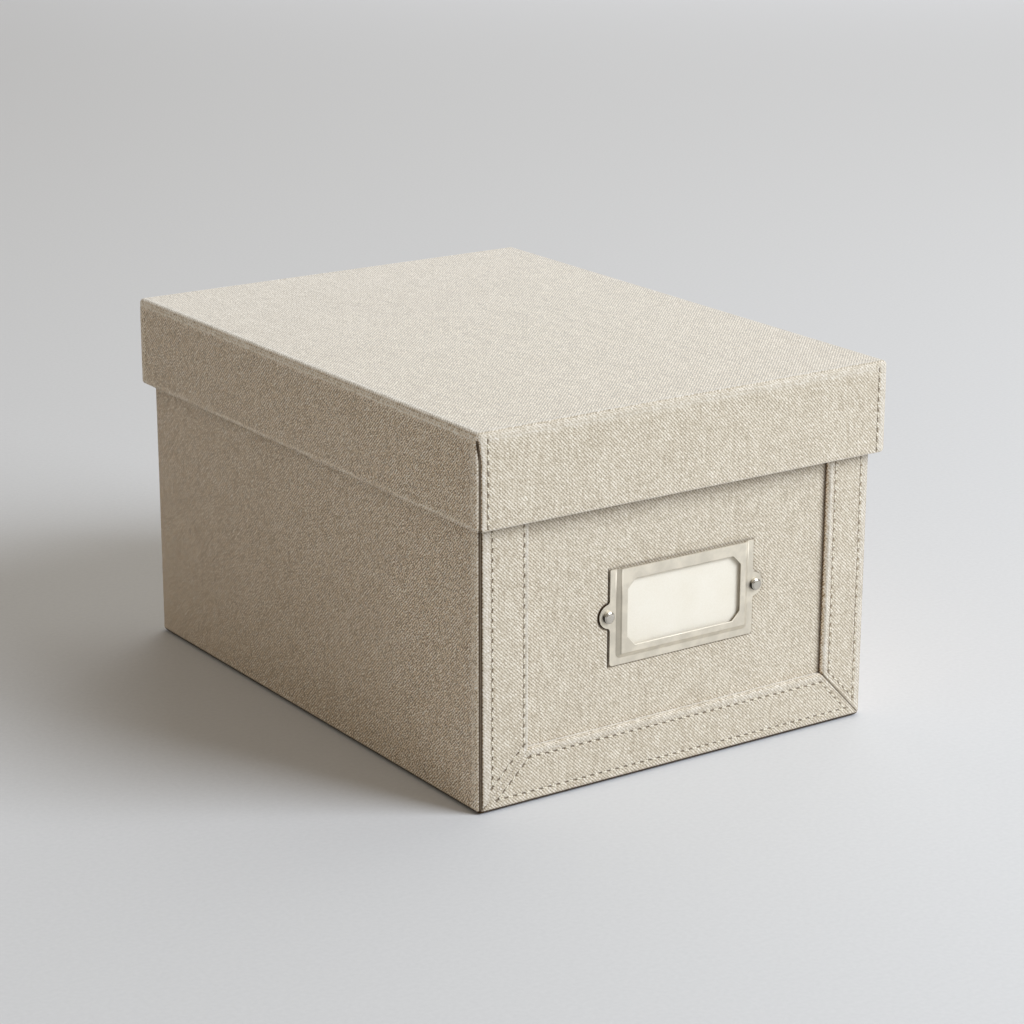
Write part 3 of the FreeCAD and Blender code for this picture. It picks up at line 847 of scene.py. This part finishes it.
def side_band(side, width, insets, mitre_depth):
    """One upright band of the frame. Its places are worked out on the left and mirrored."""
    cloth = Patchwork()
    inner = width - HALF_X
    outer_row, inner_row = (inset - HALF_X for inset in insets)
    ends = side_row_list(width, insets)
    rows = [Row(*pair, -HALF_Y, -1, 0.18 * side) for pair in ends[:3]]
    # painted shade in the stitch holes of this band, less of it on the right
    hole_shade_share = 1.0 if side < 0 else 0.3  # the holes on the right are drawn tight
    columns = [(x, 0.0) for x in lines(
        (-SEAM_X, 0.16), (-97.6, 0.5), (outer_row - 0.9, 0.2), (outer_row + 0.9, 0.42),
        (inner_row - 0.9, 0.2), (inner_row + 0.9, 0.35), (inner - FOLD, 0))]
    columns += [(inner - FOLD + far, back) for far, back in FOLD_TURN]
    columns += [(inner, back) for back in (2.0, BAND_BACK)]
    across = lengths(columns)
    top = RIM - BAND_BEND
    length = top - mitre_z((outer_row + inner) / 2, width)
    rise = [(e, 0.0) for e in lines((0, 0.14), (0.84, 0.5), (2.9, 0.22), (5.4, 0.37), (length, 0))]
    rise += [(length + BAND_BEND * sin(a), BAND_BEND - BAND_BEND * cos(a)) for a in quarter(4, 1)]
    rise += [(length + BAND_BEND, back) for back in (1.4, 2.0, BAND_BACK)]

    def height(e, x):
        """Height for a distance above the mitre, which stretches to end at the rim everywhere."""
        foot = mitre_z(x, width)
        if e <= 8:
            return foot + e
        if e <= length:
            return foot + 8 + (e - 8) * (top - foot - 8) / (length - 8)
        return top + e - length

    def place(up, column):
        (e, over), (x, back) = rise[up], columns[column]
        z = height(e, x)
        square = e * (width - FOOT) / hypot(width - FOOT, BAND_TOP - FOOT)
        sink, shade = seam_groove(-x, side) if x < -96 else (0.0, 0.0)
        press, dark = pressed(rows, x, z)
        dark *= hole_shade_share
        split = exp(-(square / MITRE_CREASE) ** 2)
        depth = max(mitre_depth, 0.6 * ease((5.0 - z) / 3))
        sink = max(sink, press, depth * split) + hand_sag(x * side, -HALF_Y, z, 0.05)
        sink -= plump((x - inner_row - 0.7) / (inner - inner_row - 0.7))
        # painted shade in the seam groove, the stitch holes and the mitre crease
        shade = max(shade, dark, split * min(1.0, depth * 1.6))
        # painted highlight on the folded inner edge and beside the outer row, then painted shade in the
        # crease behind the band
        pale = max(ease((x - inner + 2.6) / 0.6), ease((outer_row - 0.7 - x) / 0.6) * 0.8)
        pale *= 1 - ease((z - RIM + 2) / 2)
        crease = ease((back - 0.9) / 0.5)
        shade = shade_or_highlight(shade, pale) * (1 - crease) + 0.78 * crease
        keep = 1 - min(1.0, max(back, over))
        spot = on_block(x, -HALF_Y, z, HALF_X, HALF_Y, sink * keep)
        spot.y += min(BAND_BACK, back + over)
        spot.x *= -side
        return spot, shade * (1 - min(1.0, over))

    def weave(up, column):
        return -side * (across[column] - SEAM_X), height(rise[up][0], columns[column][0]) + rise[up][1]

    cloth.patch(range(len(rise)), range(len(columns)), place, weave)
    name = "left_band" if side < 0 else "right_band"
    piece = cloth.build(name + "_linen", LINEN, lambda c: Vector((0, -1, 0)))
    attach(piece, "box")
    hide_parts(name + "_cover")
    return [Row(*((-side * x, z) for x, z in pair), -HALF_Y, -1, 0.18, 0.8) for pair in ends]


def bottom_band(rows):
    """The band below, between both mitres, carried round the bottom edge."""
    cloth = Patchwork()
    lower = [row for row in rows if row.start[1] < BAND_TOP]
    under = [(0.0, back, 0.0) for back in (2.5, 2.2, 1.6, 1.0, 0.5)]
    heights = [(z, 0.0, 0.0) for z in lines(
        (0, 0.25), (2.4, 0.5), (LOWER_ROW - 1, 0.2), (LOWER_ROW + 1, 0.42), (UPPER_ROW - 1, 0.2),
        (UPPER_ROW + 1, 0.4), (BAND_TOP - FOLD, 0))]
    heights += [(BAND_TOP - FOLD + far, 0.0, back) for far, back in FOLD_TURN]
    heights += [(BAND_TOP, 0.0, back) for back in (2.0, BAND_BACK)]
    levels = under + heights
    along = lengths([(z, back - fore) for z, fore, back in levels])
    # columns: (share of the way between the mitres, and an offset in millimetres)
    near = lines((0, 0.14), (0.84, 0.5), (3.2, 0.22), (5.4, 0.37), (8, 0))
    columns = [(0, e) for e in near] + [(f, 8 - 16 * f) for f in lines((0, 0.0022), (1, 0))[1:-1]]
    columns += [(1, -e) for e in reversed(near)]

    def spread(z, column):
        """X of a column at a height."""
        share, offset = column
        start = max(-HALF_X, mitre_x(z, LEFT_BAND))
        return start + share * (min(HALF_X, -mitre_x(z, RIGHT_BAND)) - start) + offset

    def place(level, column):
        z, fore, back = levels[level]
        x = spread(z, column)
        if fore:
            x = clamp(x, fore - HALF_X, HALF_X - fore)
            # painted shade on the cloth turned under the box
            return on_block(x, fore - HALF_Y, 0.0, HALF_X, HALF_Y, 0.02, bottom=0.0), 0.97
        mitre, width = (LEFT_MITRE, LEFT_BAND) if x < 0 else (RIGHT_MITRE, RIGHT_BAND)
        depth = max(mitre, 0.6 * ease((5.0 - z) / 3))
        near_by = abs(column[1]) if column[0] in (0, 1) else HALF_X
        square = near_by * (BAND_TOP - FOOT) / hypot(width - FOOT, BAND_TOP - FOOT)
        split = exp(-(square / MITRE_CREASE) ** 2) * ease((z - 0.9) / 1.5)
        press, dark = pressed(lower, x, z)
        hook = seam_groove(abs(x), x)[0] * ease((z - 0.6) / 1.0) if abs(x) > 96 else 0.0
        sink = max(press, depth * split, hook) + hand_sag(x, -HALF_Y, z, 0.05) * ease(z / 4)
        sink -= plump((z - UPPER_ROW - 0.7) / (BAND_TOP - UPPER_ROW - 0.7))
        # painted shade in the stitch holes, the mitre crease and the turn under the box, and a painted
        # highlight on the top fold
        shade = max(dark, split * min(1.0, depth * 1.6), under_shade(z))
        shade = shade_or_highlight(shade, 0.55 * ease((z - BAND_TOP + 2.8) / 0.6))
        keep = 1 - min(1.0, back)
        spot = on_block(x, -HALF_Y, z, HALF_X, HALF_Y, sink * keep, bottom=0.0)
        spot.y += back
        return spot, shade

    def weave(level, column):
        return spread(levels[level][0], column), along[level]

    cloth.patch(range(len(levels)), columns, place, weave)
    piece = cloth.build("bottom_band_linen", LINEN, lambda c: Vector((0, -1, 0.2)))
    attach(piece, "box")
    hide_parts("bottom_band_cover")


def panel_linen():
    """The recessed panel, folded over the rim of the front wall and turned in."""
    cloth = Patchwork()
    xs = lines((-96.95, 3.0), (-43, 0.4), (-33, 3.0), (-30, 0.8), (37, 0.4), (46, 3.0), (96.95, 0))
    zs = lines((0.6, 3.0), (45, 0.4), (51, 0.6), (88, 0.4), (94, 3.0), (156.0, 0))
    path = [(0.0, z) for z in zs] + fold_path(zs[-1] + RIM_BEND, 153.0, 150.0)[1:]
    gone = lengths(path)

    def beside_holder(x, z):
        """(sink, shade) beside the edge of the label holder: the cloth that it presses in, and a
        painted shadow of the edge, strongest on its left, then below, faintest above and to the right.
        """
        x -= HOLDER_X
        flange = max(abs(x) - HOLDER_HALF, HOLDER_Z0 - z, z - HOLDER_Z1)
        ear = hypot(abs(x) - HOLDER_HALF, z - RIVET_Z) - EAR
        off = min(flange, ear)
        if off > 3:
            return 0.0, 0.0
        left = ear < flange and x < 0 or x < -36.9
        below = z < HOLDER_Z0 or ear < flange and z < RIVET_Z
        strength = 0.95 if left else 0.6 if below else 0.25
        return 0.35 * ease(1.2 - off / 0.9), strength * ease(1.3 - off / 0.75)

    def place(step, x):
        back, z = path[step]
        keep = 1 - ease(back / 1.5)
        sink, shade = beside_holder(x, z) if back == 0 else (0.0, 0.0)
        return Vector((x, PANEL + back + keep * (hand_sag(x, PANEL, z, 0.07) + sink), z)), shade

    cloth.patch(range(len(path)), xs, place, lambda step, x: (x, gone[step]))
    piece = cloth.build("panel_linen", LINEN, lambda c: Vector((0, -1 if c.y < -131 else 0.1, 0.1)))
    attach(piece, "box")
    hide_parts("front_panel_cover")


def base_linen():
    """The sheet glued below, with soft edges."""
    cloth = Patchwork()
    rise = [(0.45, 0.4), (0.3, 0.12), (0.12, 0.02), (0.0, 0.0)]
    xs = [(-97.3 + inset, z) for z, inset in rise]
    xs += [(x, 0.0) for x in lines((-94, 4), (94, 0))] + [(-x, z) for x, z in reversed(xs)]
    ys = [(-132.2 + inset, z) for z, inset in rise]
    ys += [(y, 0.0) for y in lines((-129, 4), (129, 0))] + [(-y, z) for y, z in reversed(ys)]

    def place(column, row):
        return Vector((row[0], column[0], max(row[1], column[1]) + 0.02)), 0.0

    cloth.patch(ys, xs, place, lambda column, row: (row[0], column[0]))
    piece = cloth.build("base_linen", LINEN, lambda c: Vector((0, 0, -1)), thickness=0.3)
    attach(piece, "box")
    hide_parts("base_cover")


# ---------------------------------------------------------------- sewing

def stitches(name, rows, body, node, seed):
    """Every stitch is a short run of thread that comes out of one hole and dives into the next."""
    dice = random.Random(seed)
    half = STITCH_LENGTH / 2
    run = [(-half - 0.06, -0.95), (-half, -0.52), (-half + 0.16, -0.22), (-half + 0.45, -0.10)]
    run += [(-0.6, -0.06), (0.0, -0.05), (0.6, -0.06)] + [(-a, h) for a, h in reversed(run)]
    gone = lengths(run)
    sides = 8
    points, faces, shades, cloths = [], [], [], []
    for row in rows:
        for index in range(row.count):
            middle = row.start + row.along * row.pitch * (index + 0.5)
            skew = row.slant + dice.uniform(-0.05, 0.05)
            along = (row.along + row.aside * skew).normalized()
            aside = Vector((-along.y, along.x)) * row.facing * -1
            wide = 0.36 * dice.uniform(0.92, 1.06)
            start = len(points)
            turn = dice.uniform(0, 1)
            for a, h in run:
                for k in range(sides):
                    angle = 2 * pi * k / sides
                    flat = middle + along * a + aside * (wide * cos(angle))
                    out = h + 0.24 * sin(angle)
                    points.append((flat.x, row.y + row.facing * out, flat.y))
                    # painted shade on the ends that dive into the holes
                    shades.append(ease(-h * 1.6 - 0.15) * 0.85)
            for r in range(len(run) - 1):
                for k in range(sides):
                    ring = [(r, k), (r, k + 1), (r + 1, k + 1), (r + 1, k)]
                    faces.append([start + i * sides + j % sides for i, j in ring])
                    cloths.append([(j / sides + turn, gone[i] / 1.1) for i, j in ring])
            for r in (0, len(run) - 1):
                faces.append([start + r * sides + k for k in range(sides)])
                cloths.append([(0.0, 0.0)] * sides)
    mesh, bm = cloth_mesh(name, points, faces, cloths, shades)
    turn_out(bm)
    piece = finished(name, mesh, bm, THREAD)
    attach(piece, body)
    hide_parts(node)


# ---------------------------------------------------------------- label holder, rivets and card

HOLDER_HALF, FOOT_HALF, RIVET_X = 37.0, 33.8, 38.0  # from the middle of the holder
EAR, EAR_BLEND = 5.2, 1.5
CORNER = 1.3  # of the flange, below
SHEET, RING = 0.6, 2.1  # from the panel to the face of the flange and of the raised ring
BEND = 2.45  # from the crest of the slope to the flat of the flange


def flange_outline():
    """The flange's left edge, from its top and round the ear, and its lower left corner."""
    blend_up = sqrt((EAR + EAR_BLEND) ** 2 - EAR_BLEND ** 2)
    lean = atan2(EAR_BLEND, blend_up)
    left = [(-HOLDER_HALF, z) for z in lines((HOLDER_Z1, 2.0), (RIVET_Z + blend_up, 0))]
    centre = (-HOLDER_HALF - EAR_BLEND, RIVET_Z + blend_up)
    half = [(centre[0] + EAR_BLEND * cos(a), centre[1] + EAR_BLEND * sin(a))
            for a in (-(pi / 2 - lean) * k / 5 for k in range(1, 6))]
    ear_start = pi / 2 + lean
    half += [(-HOLDER_HALF + EAR * cos(a), RIVET_Z + EAR * sin(a))
             for a in (ear_start + (pi - ear_start) * k / 10 for k in range(1, 11))]
    left += half + [(x, 2 * RIVET_Z - z) for x, z in reversed(half[:-1])]
    left += [(-HOLDER_HALF, z) for z in lines((RIVET_Z - blend_up, 2.0), (HOLDER_Z0 + CORNER, 0))]
    middle = CORNER - HOLDER_HALF, HOLDER_Z0 + CORNER
    corner = [(middle[0] - CORNER * cos(a), middle[1] - CORNER * sin(a)) for a in quarter(6, 1)]
    return left, corner


def label_holder():
    """Stamped sheet: flange with ears, slope and raised ring, bent with soft edges."""
    left, corner = flange_outline()
    inner_corner = (-FOOT_HALF + 2.0, HOLDER_Z0 + 3.2 + 2.0)
    low = inner_corner[1]
    # stations: (outer edge, way outwards, centre of the bends)
    half_way = [((x, z), (-1.0, 0.0), (inner_corner[0], max(z, low))) for x, z in left]
    half_way += [(spot, (-cos(a), -sin(a)), inner_corner) for spot, a in zip(corner, quarter(6, 1))]
    stations = half_way + [
        ((x, HOLDER_Z0), (0.0, -1.0), (clamp(x, inner_corner[0], -inner_corner[0]), low))
        for x in lines((CORNER - HOLDER_HALF, 4.0), (HOLDER_HALF - CORNER, 0))[1:-1]]
    stations += [((-x, z), (-nx, nz), (-cx, cz)) for (x, z), (nx, nz), (cx, cz) in reversed(half_way)]

    # levels: (radius from the station's centre, depth in front of the panel)
    levels = [(BEND, SHEET), (2.22, SHEET + 0.035), (2.0, SHEET + 0.17), (1.86, SHEET + 0.30),
              (0.62, 1.62), (0.42, 1.86), (0.2, 2.03), (0.0, RING)]
    bm = bmesh.new()

    def point(x, z, depth):
        return bm.verts.new(Vector((HOLDER_X + x, PANEL - depth, z)) * MM)

    rings = []
    for (ox, oz), (nx, nz), (cx, cz) in stations:
        inward = Vector((cx + nx * BEND - ox, cz + nz * BEND - oz)).normalized()
        rim = [(0.0, SHEET - 0.12), (0.04, SHEET - 0.03), (0.14, SHEET)]
        column = [point(ox + inward.x * far, oz + inward.y * far, depth) for far, depth in rim]
        column += [point(cx + nx * radius, cz + nz * radius, depth) for radius, depth in levels]
        rings.append(column)
    for one, two in zip(rings, rings[1:]):
        for k in range(len(one) - 1):
            bm.faces.new((one[k], one[k + 1], two[k + 1], two[k])).smooth = k not in (2, 6)
    crest = [ring[-1] for ring in rings]

    half, low_z, high_z, cut = 29.1, HOLDER_Z0 + 7.9, HOLDER_Z1 - 5.0, 4.0
    window = [Vector(spot) for spot in (
        (-half, high_z - cut), (-half, low_z + cut), (cut - half, low_z), (half - cut, low_z),
        (half, low_z + cut), (half, high_z - cut), (half - cut, high_z), (cut - half, high_z))]

    def window_loop(inset, depth):
        """The window's edge moved outwards by an inset."""
        out = []
        for k, spot in enumerate(window):
            runs = spot - window[k - 1], window[(k + 1) % 8] - spot
            before, after = (Vector((run.y, -run.x)).normalized() for run in runs)
            moved = spot + (before + after) * (inset / (1 + before.dot(after)))
            out.append(point(moved.x, moved.y, depth))
        return out

    edge_loops = [window_loop(inset, depth)
                  for inset, depth in ((0.30, RING), (0.14, 2.07), (0.04, 1.98), (0.0, 1.86))]
    for outer, inner in zip(edge_loops, edge_loops[1:]):
        for k in range(8):
            bm.faces.new((outer[k - 1], inner[k - 1], inner[k], outer[k])).smooth = True
    ring = crest + [point(x, HOLDER_Z1, RING) for x in (20.0, 0.0, -20.0)]
    corners = ring + edge_loops[0]
    loops = [(k, (k + 1) % len(ring)) for k in range(len(ring))]
    loops += [(len(ring) + k, len(ring) + (k + 1) % 8) for k in range(8)]
    flat = [Vector((v.co.x, v.co.z)) / MM for v in corners]
    found = delaunay_2d_cdt(flat, loops, [], 1, 1e-5)
    for triangle in found[2]:
        own = [found[3][index][0] for index in triangle]
        if min(own) < len(ring):
            bm.faces.new([corners[index] for index in own])
    bmesh.ops.remove_doubles(bm, verts=bm.verts, dist=0.003 * MM)
    turn_out(bm, lambda c: Vector((0, -1, 0)))
    name = "stamped_holder"
    piece = finished(name, bpy.data.meshes.new(name), bm, HOLDER, smooth=False)
    thicken(piece, 0.55).use_even_offset = True
    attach(piece, "box")
    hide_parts("label_holder")


def lathe(bm, centre_x, centre_z, profile, sides=48):
    """Turns (radius, y) points about an axis along Y."""
    rings = []
    turns = [2 * pi * k / sides for k in range(sides)]
    for radius, y in profile:
        if radius == 0:
            rings.append([bm.verts.new(Vector((centre_x, y, centre_z)) * MM)] * sides)
            continue
        rings.append([bm.verts.new(Vector((
            centre_x + radius * cos(a), y, centre_z + radius * sin(a))) * MM) for a in turns])
    for one, two in zip(rings, rings[1:]):
        for k in range(sides):
            ring = []
            for vertex in (one[k - 1], one[k], two[k], two[k - 1]):
                if vertex not in ring:
                    ring.append(vertex)
            bm.faces.new(ring)


def rivets():
    """Turned heads with a softened rim, on shanks that are closed by a tail inside."""
    seat = PANEL - SHEET
    top, head, edge = seat - 1.9, 2.6, 0.32
    profile = [(0, top), (0.8, top + 0.03), (1.5, top + 0.12), (2.05, top + 0.28)]
    profile += [(head - edge + edge * sin(a), top + 0.45 + edge - edge * cos(a))
                for a in quarter(6)]
    profile += [(head, seat - 0.5), (2.57, seat - 0.05), (2.5, seat), (0.9, seat), (0.9, -129.2)]
    profile += [(1.35, -129.2), (1.5, -129.05), (1.5, -128.75), (1.3, -128.62), (0, -128.6)]
    bm = bmesh.new()
    for x in (HOLDER_X - RIVET_X, HOLDER_X + RIVET_X):
        lathe(bm, x, RIVET_Z, profile)
    turn_out(bm)
    name = "turned_rivets"
    piece = finished(name, bpy.data.meshes.new(name), bm, RIVET)
    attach(piece, "box")
    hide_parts("label_rivets")


def card():
    """A cut card with small round corners that bows a little in its holder."""
    low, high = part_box("label_card")
    x0, x1, z0, z1 = (value / MM for value in (low[0], high[0], low[2], high[2]))
    paper, corner = 0.35, 1.2
    cloth = Patchwork()
    xs = lines((x0, 0.2), (x0 + 1.2, 2.0), (x1 - 1.2, 0.2), (x1, 0))
    zs = lines((z0, 2.0), (z1 - 1.2, 0.2), (z1, 0))
    middle = (x0 + x1) / 2

    def place(z, x):
        over = max(0.0, z - z1 + corner), max(0.0, abs(x - middle) - (x1 - x0) / 2 + corner)
        reach = hypot(*over)
        if reach > 0 and max(over) > 0:
            scale = max(over) / reach
            z -= over[0] * (1 - scale)
            x -= copysign(over[1] * (1 - scale), x - middle)
        bow = 0.04 * cos((x - middle) / 33 * pi / 2)
        return Vector((x, -132.98 + bow, z)), 0.0

    cloth.patch(zs, xs, place, lambda z, x: (x, z))
    piece = cloth.build("label_paper", CARD, lambda c: Vector((0, -1, 0)), thickness=paper)
    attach(piece, "card")
    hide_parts("label_card")


# ---------------------------------------------------------------- the box

lid_rows = lid_linen()
wrap_linen()
frame_rows = side_band(-1, LEFT_BAND, LEFT_ROWS, LEFT_MITRE)
frame_rows += side_band(1, RIGHT_BAND, RIGHT_ROWS, RIGHT_MITRE)
for z in (LOWER_ROW, UPPER_ROW):
    ends = (mitre_x(z, LEFT_BAND, -MITRE_OFFSET), z), (-mitre_x(z, RIGHT_BAND, -MITRE_OFFSET), z)
    frame_rows.append(Row(*ends, -HALF_Y, -1, -0.08, 0.5))
bottom_band(frame_rows)
panel_linen()
base_linen()
stitches("frame_thread", frame_rows, "box", "frame_stitching", 3)
stitches("lid_thread", lid_rows[-LID_Y] + lid_rows[LID_Y], "lid", "lid_stitching", 5)
label_holder()
rivets()
card()
for node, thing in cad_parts.items():
    material = BOARD if node.endswith("board") else LINING if node.endswith("lining") else None
    if node == "rivet_washers":
        material = HOLDER
    if material:
        thing.data.materials.clear()
        thing.data.materials.append(material)

# ---------------------------------------------------------------- studio

floor = bpy.data.meshes.new("studio_floor")
floor.from_pydata([(-6, -6, 0), (6, -6, 0), (6, 8, 0), (-6, 8, 0)], [], [(0, 1, 2, 3)])
floor.materials.append(PAPER_FLOOR)
ground = bpy.data.objects.new("studio_floor", floor)
ground.location.z = -0.0003
scene.collection.objects.link(ground)


def softbox(name, place, target, size, power, colour):
    light = bpy.data.lights.new(name, "AREA")
    light.shape = "RECTANGLE"
    light.size, light.size_y = size
    light.energy = power
    light.color = colour
    lamp = bpy.data.objects.new(name, light)
    aim = (Vector(target) - Vector(place)).to_track_quat("-Z", "Y")
    lamp.matrix_world = Matrix.Translation(place) @ aim.to_matrix().to_4x4()
    scene.collection.objects.link(lamp)


softbox("key", (1.4445, -1.9882, 1.7207), (0, 0, 0.06), (1.65, 1.65), 90.8, (0.856, 0.918, 1.0))
softbox("top", (1.4, 0.6, 2.4), (0, 0, 0), (2.0, 2.0), 10.0, (1.0, 0.986, 0.916))
softbox("back", (2.8, 3.0, 0.9), (0, 0, 0.1), (3.0, 1.4), 42.7, (0.878, 0.923, 1.0))
world = bpy.data.worlds.new("studio")
scene.world = world
world.use_nodes = True
sky = world.node_tree.nodes["Background"].inputs
sky["Color"].default_value = (0.294, 0.270, 0.233, 1)
sky["Strength"].default_value = 1.0

azimuth, elevation, roll = (radians(v) for v in (-34.3485, 17.1424, 0.091))
level = cos(elevation)
back = Vector((sin(azimuth) * level, -cos(azimuth) * level, sin(elevation)))
right = Vector((cos(azimuth), sin(azimuth), 0))
up = back.cross(right)
spot = Vector((-0.68384, -1.01243, 0.45212))
turned_right = right * cos(roll) + up * sin(roll)
turned_up = up * cos(roll) - right * sin(roll)
lens = bpy.data.cameras.new("camera")
lens.lens, lens.sensor_width = 100.4, 36.0
camera = bpy.data.objects.new("camera", lens)
axes = Matrix((turned_right, turned_up, back)).transposed()
camera.matrix_world = Matrix.Translation(spot) @ axes.to_4x4()
scene.collection.objects.link(camera)
scene.camera = camera
scene.view_settings.view_transform = "Standard"
